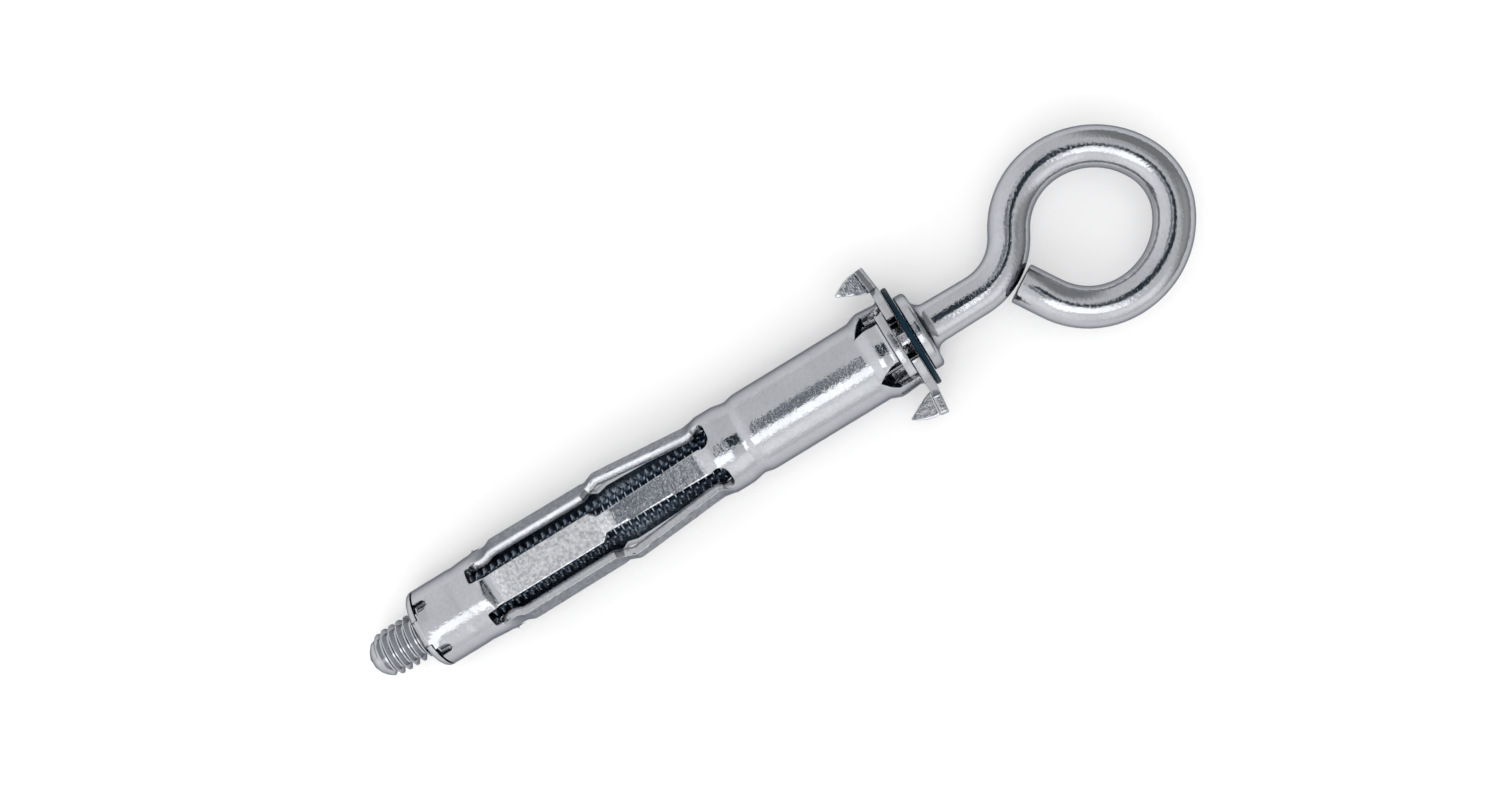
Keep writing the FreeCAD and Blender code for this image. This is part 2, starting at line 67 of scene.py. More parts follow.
def rounded(corners: Sequence[tuple], steps: int = 5) -> list[Point]:
    """Round the inner corners of an open line.

    Args:
        corners: (across, up) or (across, up, radius) for each corner.
        steps: parts of each rounding.

    Returns:
        The points of the line, with each rounding as a short chain.
    """
    points = [Vector(corner[:2]) for corner in corners]
    line = []
    for index, corner in enumerate(corners):
        if len(corner) < 3:
            line.append(tuple(points[index]))
            continue
        back = (points[index - 1] - points[index]).normalized()
        ahead = (points[index + 1] - points[index]).normalized()
        half = back.angle(ahead) / 2
        centre = points[index] + (back + ahead).normalized() * corner[2] / sin(half)
        first = points[index] + back * corner[2] / tan(half) - centre
        last = points[index] + ahead * corner[2] / tan(half) - centre
        turn = first.angle_signed(last)
        for step in range(steps + 1):
            spoke = first.copy()
            spoke.rotate(Matrix.Rotation(-turn * step / steps, 2))
            line.append(tuple(centre + spoke))
    return line


def follow(line: Sequence[Point], at: float, soften: float = 0.0) -> float:
    """The value of a broken line at a place.

    Args:
        line: (place, value) pairs in rising order of place.
        at: the place.
        soften: reach over which corners are averaged away.

    Returns:
        The value there.
    """
    def value(place: float) -> float:
        """The value of the broken line itself."""
        for (left, low), (right, high) in zip(line, line[1:]):
            if place <= right:
                share = min(max((place - left) / (right - left), 0.0), 1.0)
                return low + (high - low) * share
        return line[-1][1]

    if not soften:
        return value(at)
    samples = 9
    return sum(value(at + soften * (2 * i / (samples - 1) - 1)) for i in range(samples)) / samples


@dataclass(frozen=True)
class AnchorAxis:
    """The anchor's own frame: +X along its axis from the nut end, +Z towards the side that lies up."""

    matrix: Matrix

    @classmethod
    def from_record(cls, record: dict, sleeve_length: float) -> "AnchorAxis":
        """Read the frame from the joint on which the bolt turns.

        Args:
            record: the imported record.
            sleeve_length: distance of the joint's point from the nut end, in millimetres.

        Returns:
            The axis, whose matrix leads from own millimetres to the row's metres.
        """
        joint = next(item for item in record["behaviour"]["joints"] if item["name"] == "bolt_turn")
        along = Vector(joint["axis"]).normalized()
        side = Vector((0, 1, 0))
        turn = Matrix((along, side, along.cross(side))).transposed().to_4x4()
        start = Vector(joint["pos_m"]) - along * sleeve_length * MM
        return cls(Matrix.Translation(start) @ turn @ Matrix.Scale(MM, 4))

    def point(self, x: float, y: float, z: float) -> Vector:
        """A point of the own frame in the row's metres."""
        return self.matrix @ Vector((x, y, z))


def spokes(angles: range) -> list[Point]:
    """The cosine and the sine of each angle, given in whole degrees."""
    return [(cos(radians(angle)), sin(radians(angle))) for angle in angles]


def picked(geom: Sequence, kind: type) -> list:
    """The items of one kind, such as vertices, from what an operator gives back."""
    return [item for item in geom if isinstance(item, kind)]


def link_object(name: str, data: bpy.types.ID) -> Object:
    """Put an object with this data into the scene."""
    made = bpy.data.objects.new(name, data)
    bpy.context.scene.collection.objects.link(made)
    return made


def mesh_object(name: str, mesh: BMesh) -> Object:
    """Turn a mesh, which is freed, into an object in the scene."""
    data = bpy.data.meshes.new(name)
    mesh.to_mesh(data)
    mesh.free()
    return link_object(name, data)


def bisect(mesh: BMesh, place: Sequence[float], normal: Sequence[float], snap: float,
           clear_outer: bool = False) -> list[BMEdge]:
    """Cut a mesh along a plane, to which vertices within the snap move, and give the cut's edges."""
    out = bmesh.ops.bisect_plane(mesh, geom=mesh.verts[:] + mesh.edges[:] + mesh.faces[:], dist=snap,
                                 plane_co=place, plane_no=normal, clear_outer=clear_outer)
    return picked(out["geom_cut"], BMEdge)


def draw_on(mesh: BMesh, ring: list[BMEdge], move: Sequence[float], scale: Sequence[float],
            centre: Vector = Vector()) -> list[BMEdge]:
    """Extrude a ring of edges, scale the new ring about a centre, move it, and give it."""
    out = bmesh.ops.extrude_edge_only(mesh, edges=ring)["geom"]
    verts = picked(out, BMVert)
    bmesh.ops.scale(mesh, verts=verts, vec=scale, space=Matrix.Translation(-centre))
    bmesh.ops.translate(mesh, verts=verts, vec=move)
    return picked(out, BMEdge)


def spin_profile(mesh: BMesh, line: Sequence[Point], steps: int) -> None:
    """Spin a line of (along, radius) points right round the X axis."""
    verts = [mesh.verts.new((along, 0, radius)) for along, radius in line]
    edges = [mesh.edges.new(pair) for pair in zip(verts, verts[1:])]
    bmesh.ops.spin(mesh, geom=verts + edges, cent=(0, 0, 0), axis=(1, 0, 0), dvec=(0, 0, 0),
                   angle=2 * pi, steps=steps, use_merge=True, use_duplicate=False)
    bmesh.ops.remove_doubles(mesh, verts=mesh.verts, dist=1e-5)
    bmesh.ops.recalc_face_normals(mesh, faces=mesh.faces)


@dataclass
class Piece:
    """A finished piece and what the frame has to know about it."""

    name: str
    body: Body
    slot: str
    node: str

    def make(self, mesh: BMesh, axis: AnchorAxis,
             materials: Sequence[Material], modifiers: Sequence[tuple[str, dict]] = (),
             smooth_angle: float = 32.0, limits: Optional[Point] = None) -> Object:
        """Turn a mesh in own millimetres into the piece.

        Args:
            mesh: the mesh, which is freed.
            axis: the anchor's frame.
            materials: the piece's materials, in order of the faces' indices.
            modifiers: modifier types with their settings in millimetres, applied in order.
            smooth_angle: edges sharper than this many degrees stay sharp.
            limits: where the piece begins and ends along the axis, past which no corner may stand.

        Returns:
            The object, which rides on its body and replaces its node.
        """
        piece = mesh_object(self.name, mesh)
        for material in materials:
            piece.data.materials.append(material)
        for kind, settings in modifiers:
            modifier = piece.modifiers.new(kind.title(), kind)
            for key, value in settings.items():
                setattr(modifier, key, value)
        if modifiers:
            graph = bpy.context.evaluated_depsgraph_get()
            baked = bpy.data.meshes.new_from_object(piece.evaluated_get(graph))
            piece.modifiers.clear()
            piece.data = baked
        if limits:
            for vertex in piece.data.vertices:
                vertex.co.x = min(max(vertex.co.x, limits[0]), limits[1])
        piece.data.transform(axis.matrix)
        piece.data.shade_smooth()
        piece.data.set_sharp_from_angle(angle=radians(smooth_angle))
        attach(piece, self.body.value)
        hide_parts(self.node)
        LOG.info("%s: %d faces", self.name, len(piece.data.polygons))
        return piece


@dataclass(frozen=True)
class FoldLine:
    """The section line of a folded part of the sheet, walked by its own length."""

    points: Line

    def marks(self, spacing: float = inf) -> list[float]:
        """The lengths walked to each corner, with long stretches divided to a spacing."""
        found = [0.0]
        for left, right in zip(self.points, self.points[1:]):
            reach = dist(left, right)
            count = max(1, ceil(reach / spacing - 0.01))
            found += [found[-1] + reach * (i + 1) / count for i in range(count)]
        return found

    def at(self, walked: float) -> Point:
        """The point after a length walked, straight on beyond the last corner."""
        for left, right in zip(self.points, self.points[1:]):
            reach = dist(left, right)
            if walked <= reach or right == self.points[-1]:
                break
            walked -= reach
        return tuple(Vector(left) + (Vector(right) - Vector(left)) * (walked / reach))


@dataclass(frozen=True)
class Fifth:
    """What is special about one fifth of the sheet: its place round the axis and what it carries.

    The notches are the widths cut from its petal's neck, towards -Y and towards +Y of the front fifth.
    A lower petal lies under its neighbours. A claw is given by its arm's angle in degrees, overlap is
    how many degrees its rim goes on over the lower petal, and the seam is on side 1 or -1.
    """

    index: int
    notches: Point = (1.10, 1.10)
    tab: bool = False
    lower: bool = False
    claw: Optional[float] = None
    overlap: float = 0.0
    seam: int = 0


@dataclass(frozen=True)
class Corner:
    """A corner of the blank's outline.

    Its place across is a distance from the fifth's middle, or, where that is left out, the
    distance by which it stays short of the border with the next fifth.
    """

    along: float
    half: Optional[float] = None
    inset: float = 0.0


@dataclass
class SleeveSheet:
    """The sleeve as it is made: a stamped blank, rolled round the axis and folded.

    Sizes are millimetres, places are distances along the axis from the nut end, and a height is that
    of a flat strip's outer side over the axis.
    """

    sheet: float = 0.70
    length: float = 46.0
    fifths: tuple[Fifth, ...] = (
        Fifth(0, (1.08, 0.0), tab=True, lower=True), Fifth(1, (1.75, 1.10), claw=18.0, overlap=12.0),
        Fifth(2, tab=True, seam=1), Fifth(3, tab=True, seam=-1),
        Fifth(4, (1.10, 1.30), claw=-18.0, overlap=16.0))
    seam_gap: float = 0.12
    edge_round: float = 0.07

    # How the blank is divided into fields, and within what distances points become one.
    columns: int = 20
    column_share: float = 0.8
    spacing: float = 0.30
    fine_spacing: float = 0.14
    short_stretch: float = 2.0
    narrow_spacing: float = 0.2
    petal_spacing: float = 0.22
    claw_spacing: float = 0.25
    weld: float = 0.004
    snap: float = 0.012
    fold_snap: float = 0.002
    join: float = 0.01

    # The nut end. A fold has a distance, here from the nut's face, a radius and a rounding.
    end_radius: float = 3.40
    nut_face: float = 0.50
    edge: float = 1.35
    relief_end: float = 2.45
    relief_half: float = 0.475
    tab_half: float = 1.125
    tab_end: float = 2.22
    tab_chamfer: float = 0.15
    tab_folds: tuple[Fold, ...] = ((0.62, 3.40, 0.30), (0.20, 3.05, 0.25), (0.0, 2.55, 0.18))
    tab_flat: Line = ((-0.6, 1.0), (0.9, 0.0))
    crease: Line = ((4.50, 3.40), (4.90, 3.36), (5.30, 3.40))

    # Legs and tube: places with the height there. The press curve gives flatness at places.
    slot_start: Point = (6.35, 3.48)
    slot_half: float = 0.75
    corner: float = 0.25
    corner_cut: float = 0.07
    press_start: Point = (7.05, 3.49)
    press_curve: Line = ((6.93, 0.0), (7.10, 0.6), (7.55, 1.0), (27.05, 1.0), (28.20, 0.0))
    press_soften: float = 0.05
    seat: Point = (7.55, 3.22)
    ramp: Point = (8.15, 3.22)
    strip_one: Point = (8.80, 3.52)
    strip_one_half: float = 1.31
    waist: Point = (17.40, 3.44)
    waist_half: float = 0.76
    step: Point = (17.95, 3.54)
    strip_two: Point = (18.85, 3.90)
    leg_end: Point = (27.05, 3.06)
    eye_round: float = 0.80
    eye_flat: float = 0.375
    soften: float = 0.16
    tube_radius: float = 3.43
    tube_start: Point = (28.20, 3.46)
    swell_end: Point = (29.70, 3.46)
    groove: Point = (30.85, 3.23)
    groove_end: Point = (31.60, 3.43)

    # The petals. The notch curve gives distances past a notch's tip and shares of its width.
    notch_depth: float = 2.20
    notch_point: Point = (0.06, 0.05)
    notch_curve: Line = ((0.7, 0.6), (1.3, 0.9))
    neck_radius: float = 3.62
    neck_swell: Fold = (0.95, 3.79, 1.2)
    neck_bend: float = 0.35
    flange_radius: float = 4.90
    layer_gap: float = 0.04
    petal_gap: float = 0.45

    # The claws, by distances out from the axis and across the arm. The spike's front counts back from
    # the arm's reach, and its tip back from the spike's end.
    claw_from: float = 4.2
    arm_bend: float = 4.5
    arm_root: float = 4.95
    arm_reach: float = 6.52
    arm_half: float = 1.35
    arm_drop: float = 0.24
    fold_radius: float = 0.15
    fold_steps: int = 6
    spike_length: float = 2.30
    spike_lean: float = 0.09
    spike_front: Line = ((0.04, 1.15), (0.21, 1.75), (0.60, 2.55))
    spike_tip: Line = ((5.76, 0.06), (5.69, 0.0), (5.61, 0.05))
    spike_back: Line = ((5.10, 1.90), (4.62, 0.95))
    slit: tuple[Point, Point] = ((4.33, 0.42), (4.60, 1.68))
    slit_width: float = 0.17
    slit_rim: float = 4.66
    slit_slack: float = 0.05
    border_slack: float = 0.02
    rim_slack: float = 0.1

    @property
    def sector(self) -> float:
        """Half the angle of a fifth, in radians."""
        return pi / len(self.fifths)

    def underside(self, lower: bool) -> float:
        """Where the flange's underside lies, for the lower or the upper layer."""
        return self.length - self.sheet - (self.sheet + self.layer_gap if lower else 0.0)

    @property
    def notch_tip(self) -> float:
        """Where the notches between the petals end."""
        return self.underside(True) - self.notch_depth

    @property
    def claw_start(self) -> float:
        """What a distance out from the axis is short of its place along the blank, on the flange."""
        return self.notch_tip + self.petal_line(False).marks()[-2] - self.neck_radius - self.neck_bend

    @property
    def fold_start(self) -> float:
        """How far from the arm's middle its spike begins to fold."""
        return self.arm_half - self.sheet - self.fold_radius

    @property
    def fold_length(self) -> float:
        """The length of sheet in the fold of a spike."""
        return self.fold_radius * pi / 2

    def height_line(self) -> list[Point]:
        """The outer line of the tube and legs: radius, or height of a flat strip, along the axis."""
        return [(self.edge, self.end_radius), *self.crease, self.slot_start, self.press_start,
                self.seat, self.ramp, self.strip_one, self.waist, self.step, self.strip_two,
                self.leg_end, self.tube_start, self.swell_end, self.groove, self.groove_end]

    def tab_line(self) -> FoldLine:
        """The outer line of a tab, from the sleeve's edge over the nut's shoulder to its end."""
        folds = [(self.nut_face + off, radius, bend) for off, radius, bend in self.tab_folds]
        ends = (self.edge, self.end_radius), (self.nut_face, self.tab_end)
        return FoldLine(tuple(rounded([ends[0], *folds, ends[1]], steps=4)))

    def petal_line(self, lower: bool) -> FoldLine:
        """The outer line of a petal, from the tips of the notches through neck and bend to the rim."""
        under = self.underside(lower)
        swell = (self.notch_tip + self.neck_swell[0], *self.neck_swell[1:])
        line = rounded([(self.notch_tip, self.tube_radius), swell,
                        (under, self.neck_radius, self.neck_bend), (under, self.flange_radius)],
                       steps=6)
        return FoldLine(tuple(line))

    def places(self, fifth: Fifth) -> list[float]:
        """Where the blank is divided across: at each change of form, and evenly between."""
        marks = sorted({self.relief_end, self.notch_tip} | {place for place, _ in self.height_line()})
        found = [marks[0]]
        for left, right in zip(marks, marks[1:]):
            spacing = self.fine_spacing if right - left < self.short_stretch else self.spacing
            count = max(1, ceil((right - left) / spacing))
            found += [left + (right - left) * (i + 1) / count for i in range(count)]
        if fifth.tab:
            tab = self.tab_line().marks(self.narrow_spacing)
            found += [self.edge - walked for walked in tab[1:-1]]
        petal = self.petal_line(fifth.lower).marks(self.petal_spacing)
        found += [self.notch_tip + walked for walked in petal[1:]]
        beyond = ceil((self.arm_reach - self.flange_radius) / self.claw_spacing) + 1
        return found + [found[-1] + self.claw_spacing * (i + 1) for i in range(beyond)]

    def section(self, fifth: Fifth, along: float) -> Point:
        """Where the sheet's outer line runs at a place along the blank, as (x, radius)."""
        if along > self.notch_tip:
            return self.petal_line(fifth.lower).at(along - self.notch_tip)
        if along < self.edge:
            return self.tab_line().at(self.edge - along)
        return along, follow(self.height_line(), along, self.soften)

    def flatness(self, fifth: Fifth, along: float) -> float:
        """How flat the blank is pressed at a place: 0 is rolled round, 1 is flat."""
        flat = follow(self.press_curve, along, self.press_soften)
        if fifth.tab:
            flat = max(flat, follow([(self.edge + off, value) for off, value in self.tab_flat], along))
        return flat

    def side_corners(self, fifth: Fifth, side: int) -> list[Corner]:
        """The corners of the blank along one side of a fifth, from the nut end to the rim."""
        cut = fifth.notches[side > 0]
        petal = self.petal_line(fifth.lower).marks()
        flange, rim = self.notch_tip + petal[-2], self.notch_tip + petal[-1]
        neck = flange - pi / 2 * self.neck_bend
        eye = self.leg_end[0] + self.eye_round
        middle = self.sector * self.tube_radius - self.eye_flat
        arc = [Corner(eye - self.eye_round * c, middle - self.eye_round * s)
               for c, s in spokes(range(60, 181, 12))]
        relief = [Corner(self.relief_end - self.relief_half * (1 - s), None, self.relief_half * c)
                  for c, s in spokes(range(0, 81, 16))]
        corners = []
        if fifth.tab:
            tab = self.edge - self.tab_line().marks()[-1]
            corners = [Corner(tab, self.tab_half - self.tab_chamfer),
                       Corner(tab + self.tab_chamfer, self.tab_half), Corner(self.edge, self.tab_half)]
        slot, tip, gap = self.slot_start[0], self.notch_tip, self.petal_gap / 2
        return corners + [
            Corner(self.edge, None, self.relief_half), *relief, Corner(self.relief_end), Corner(slot),
            Corner(slot, None, self.slot_half - self.corner),
            Corner(slot + self.corner_cut, None, self.slot_half - self.corner_cut),
            Corner(slot + self.corner, None, self.slot_half),
            Corner(self.ramp[0], None, self.slot_half),
            Corner(self.strip_one[0], self.strip_one_half), Corner(self.waist[0], self.strip_one_half),
            Corner(self.step[0], self.waist_half), *arc, Corner(eye + self.eye_round), Corner(tip),
            Corner(tip + self.notch_point[0], None, min(self.notch_point[1], cut)),
            *(Corner(tip + past, None, share * cut) for past, share in self.notch_curve),
            Corner(neck, None, cut), Corner(flange, None, cut), Corner(flange, None, gap),
            Corner(rim, None, gap)]

    def side_line(self, fifth: Fifth, side: int) -> list[Point]:
        """One side of a fifth's outline as (along, angle), closely divided."""
        corners = self.side_corners(fifth, side)
        seam = self.seam_gap / 2 if fifth.seam == side else 0.0

        def radius(along: float) -> float:
            """The radius at a place along the blank."""
            return self.section(fifth, along)[1]

        def half(item: Corner) -> float:
            """How far a corner lies from the fifth's middle."""
            if item.half is not None:
                return item.half
            return self.sector * radius(item.along) - item.inset - seam

        line = []
        for first, last in zip(corners, corners[1:] + corners[-1:]):
            reach = hypot(last.along - first.along, (first.half or 0) - (last.half or 0))
            count = max(1, ceil(reach / self.spacing))
            for share in (step / count for step in range(count)):
                along = first.along + (last.along - first.along) * share
                if first.half is None and last.half is None:
                    inset = first.inset + (last.inset - first.inset) * share
                    angle = self.sector - (inset + seam) / radius(along)
                else:
                    angle = (half(first) * (1 - share) + half(last) * share) / radius(along)
                line.append((along, angle))
        if fifth.overlap and side * fifth.claw < 0:
            line[-2:] = [(along, self.sector + radians(fifth.overlap)) for along, _ in line[-2:]]
        return line

    def claw_line(self, fifth: Fifth) -> list[Point]:
        """The outline of a claw, from the arm's plain side round its spike, as (along, angle)."""
        reach, start = self.arm_reach, self.claw_start
        spike = self.fold_start + self.fold_length + self.spike_length - self.fold_radius
        corners = [
            (self.arm_root, -self.arm_half), (reach - self.corner, -self.arm_half),
            (reach - self.corner_cut, -self.arm_half + self.corner_cut),
            (reach, -self.arm_half + self.corner), (reach, self.fold_start),
            *((reach - back, across) for back, across in self.spike_front),
            *((out, spike - short) for out, short in self.spike_tip), *self.spike_back,
            (self.slit[0][0] + self.slit_width, self.slit[0][1]), *self.slit]
        line = []
        for first, last in zip(corners, corners[1:] + corners[-1:]):
            count = max(1, ceil(dist(first, last) / self.narrow_spacing))
            line += [(first[0] + (last[0] - first[0]) * i / count,
                      first[1] + (last[1] - first[1]) * i / count) for i in range(count)]
        turn = radians(fifth.claw)
        polar = [(start + hypot(out, across), turn - atan2(across, out)) for out, across in line]
        # A point past the border belongs to the claw only if it is out beyond the petals' rim.
        border = self.petal_gap / 2 / self.flange_radius - self.sector - self.border_slack
        rim = start + self.flange_radius + self.rim_slack
        return [point for point in polar if point[1] >= border or point[0] > rim]

    def blank(self, fifth: Fifth) -> BMesh:
        """Stamp a fifth of the blank and divide it into small fields.

        Returns:
            A flat mesh with (along, angle) in its X and Y, the angle scaled to the tube's radius.
        """
        right = self.side_line(fifth, 1)
        left = [(along, -angle) for along, angle in self.side_line(fifth, -1)]
        rim = [] if fifth.claw is None else self.claw_line(fifth)
        if rim and fifth.claw < 0:
            left[-1] = (self.claw_start + self.slit_rim, left[-1][1])
            rim = rim[:-1]
        mesh = bmesh.new()
        outline = [(along, angle * self.tube_radius) for along, angle in right + rim + left[::-1]]
        mesh.faces.new([mesh.verts.new((*point, 0)) for point in outline])
        bmesh.ops.remove_doubles(mesh, verts=mesh.verts, dist=self.weld)
        step = 2 * self.sector * self.tube_radius / self.columns
        for column in range(-self.columns, self.columns):
            if abs(column + 0.5) < self.column_share * self.columns:
                bisect(mesh, (0, step * (column + 0.5), 0), (0, 1, 0), self.snap)
        for place in self.places(fifth):
            bisect(mesh, (place, 0, 0), (1, 0, 0), self.snap)
        bmesh.ops.dissolve_degenerate(mesh, edges=mesh.edges, dist=self.weld)
        return mesh

    def roll(self, mesh: BMesh, fifth: Fifth) -> None:
        """Roll a flat fifth of the blank round the axis and bend its tab and petal."""
        turn = Matrix.Rotation(-2 * self.sector * fifth.index, 3, "X")
        for vertex in mesh.verts:
            along, angle = vertex.co.x, vertex.co.y / self.tube_radius
            x, radius = self.section(fifth, along)
            bent = Vector((x, radius * sin(angle), radius * cos(angle)))
            flat = Vector((x, radius * angle, radius))
            vertex.co = turn @ bent.lerp(flat, self.flatness(fifth, along))

    def fold_spike(self, mesh: BMesh, side: int) -> None:
        """Bend the arm on a side of Y a little to the wall and fold its spike down along one edge."""
        under = self.underside(False)
        for step in range(self.fold_steps + 1):
            place = self.fold_start + self.fold_length * step / self.fold_steps
            faces = [face for face in mesh.faces
                     if abs(face.calc_center_median().x - under) < self.join
                     and side * face.calc_center_median().y > self.claw_from]
            parts = dict.fromkeys(item for face in faces for item in (*face.verts, *face.edges))
            bmesh.ops.bisect_plane(mesh, geom=[*parts, *faces], dist=self.fold_snap,
                                   plane_co=(0, 0, side * place), plane_no=(0, 0, 1))
        inner, outer = self.slit
        lean = (outer[0] - inner[0]) / (outer[1] - inner[1])
        for vertex in mesh.verts:
            out, across = side * vertex.co.y, side * vertex.co.z
            if abs(vertex.co.x - under) > self.join or out < self.claw_from:
                continue
            past = across - self.fold_start
            if past > 0 and out > inner[0] + lean * (across - inner[1]) + self.slit_slack:
                turn = min(past, self.fold_length) / self.fold_radius
                beyond = max(past - self.fold_length, 0.0)
                vertex.co.x = under - self.fold_radius * (1 - cos(turn)) - beyond
                vertex.co.z = side * (self.fold_start + self.fold_radius * sin(turn))
                if side > 0:
                    vertex.co.z -= self.spike_lean * beyond
            bent = max(0.0, out - self.arm_bend) / (self.arm_reach - self.arm_bend)
            vertex.co.x -= self.arm_drop * bent

    def build(self, axis: AnchorAxis, materials: Sequence[Material]) -> Object:
        """Build the sleeve.

        Args:
            axis: the anchor's frame.
            materials: the sheet's face, its cut edge, and a darker bluish copy with painted shade for
                the inside of the tube.

        Returns:
            The finished piece.
        """
        mesh = bmesh.new()
        for fifth in self.fifths:
            part = self.blank(fifth)
            self.roll(part, fifth)
            if fifth.claw is not None:
                self.fold_spike(part, 1 if fifth.claw > 0 else -1)
            data = bpy.data.meshes.new("fifth")
            part.to_mesh(data)
            part.free()
            mesh.from_mesh(data)
            bpy.data.meshes.remove(data)
        bmesh.ops.remove_doubles(mesh, verts=mesh.verts, dist=self.join)
        bmesh.ops.recalc_face_normals(mesh, faces=mesh.faces)
        tube = [face for face in mesh.faces
                if self.groove_end[0] < face.calc_center_median().x < self.notch_tip]
        if sum(face.normal.yz.dot(face.calc_center_median().yz) for face in tube) < 0:
            bmesh.ops.reverse_faces(mesh, faces=mesh.faces)
        # Solidify adds 1 to a face's index on the cut edges and 2 on its inner side. The petals
        # count from 3, where the list has the plain face again, so only the tube's inside gets painted
        # shade.
        for face in mesh.faces:
            face.material_index = 3 if face.calc_center_median().x > self.notch_tip else 0
        plain, cut, painted_inner_shade = materials
        modifiers = [
            ("SOLIDIFY", {"thickness": self.sheet, "offset": -1.0, "use_rim": True,
                          "material_offset_rim": 1, "material_offset": 2}),
            ("BEVEL", {"width": self.edge_round, "segments": 2, "limit_method": "ANGLE",
                       "angle_limit": radians(60), "profile": 0.5, "use_clamp_overlap": False,
                       "miter_outer": "MITER_SHARP"})]
        return Piece("sleeve_sheet", Body.ANCHOR, "sleeve_sheet", "sleeve").make(
            mesh, axis, [plain, cut, painted_inner_shade, plain, cut, plain], modifiers,
            limits=(self.nut_face, self.length))


@dataclass
class Nut:
    """The nut: a domed head with recesses for the tabs, and a barrel inside the sleeve."""

    bore: float = 2.01
    face: float = 0.50
    head: float = 1.21
    head_radius: float = 3.40
    dome: float = 0.62
    shoulder: float = 0.95
    barrel_radius: float = 2.67
    length: float = 4.35
    recesses: tuple[int, ...] = (0, 2, 3)
    recess_half: float = 1.155
    recess_line: Line = (
        (0.10, 2.19), (1.125, 2.19), (1.125, 2.47), (1.38, 2.67), (1.38, 4.20), (0.10, 4.20))
    edge_round: float = 0.05
    steps: int = 96

    def cutter(self, index: int) -> Object:
        """The shape that cuts one recess."""
        mesh = bmesh.new()
        face = mesh.faces.new([mesh.verts.new((x, -self.recess_half, z)) for x, z in self.recess_line])
        out = bmesh.ops.extrude_face_region(mesh, geom=[face])["geom"]
        bmesh.ops.translate(mesh, verts=picked(out, BMVert), vec=(0, 2 * self.recess_half, 0))
        bmesh.ops.rotate(mesh, verts=mesh.verts, cent=(0, 0, 0),
                         matrix=Matrix.Rotation(-2 * pi / 5 * index, 3, "X"))
        bmesh.ops.recalc_face_normals(mesh, faces=mesh.faces)
        return mesh_object("recess", mesh)

    def build(self, axis: AnchorAxis, material: Material) -> Object:
        """Build the nut."""
        mesh = bmesh.new()
        dome = [(self.face + self.dome * (1 - c), self.head_radius - self.shoulder * (1 - s))
                for c, s in spokes(range(0, 91, 10))]
        line = [(self.face, self.bore), *dome, (self.head, self.head_radius),
                (self.head, self.barrel_radius), (self.length, self.barrel_radius),
                (self.length, self.bore)]
        spin_profile(mesh, line + line[:1], self.steps)
        cutters = [self.cutter(index) for index in self.recesses]
        modifiers = [("BOOLEAN", {"operation": "DIFFERENCE", "object": cutter, "solver": "EXACT"})
                     for cutter in cutters]
        modifiers.append(("BEVEL", {"width": self.edge_round, "segments": 2, "limit_method": "ANGLE",
                                    "angle_limit": radians(50), "profile": 0.5}))
        piece = Piece("nut_body", Body.ANCHOR, "nut_steel", "nut").make(
            mesh, axis, [material], modifiers)
        for cutter in cutters:
            bpy.data.objects.remove(cutter)
        return piece


@dataclass
class Washer:
    """The thin moulded disc between the flange and the collar."""

    seat: float = 46.03
    thick: float = 0.48
    hole: float = 2.10
    radius: float = 4.36
    rim: float = 0.16
    steps: int = 128

    def build(self, axis: AnchorAxis, material: Material) -> Object:
        """Build the washer."""
        mesh = bmesh.new()
        left, right = self.seat, self.seat + self.thick
        line = rounded([(left, self.hole), (left, self.radius, self.rim),
                        (right, self.radius, self.rim), (right, self.hole), (left, self.hole)], steps=4)
        spin_profile(mesh, line, self.steps)
        return Piece("washer_disc", Body.WASHER, "washer_plastic", "washer").make(
            mesh, axis, [material])


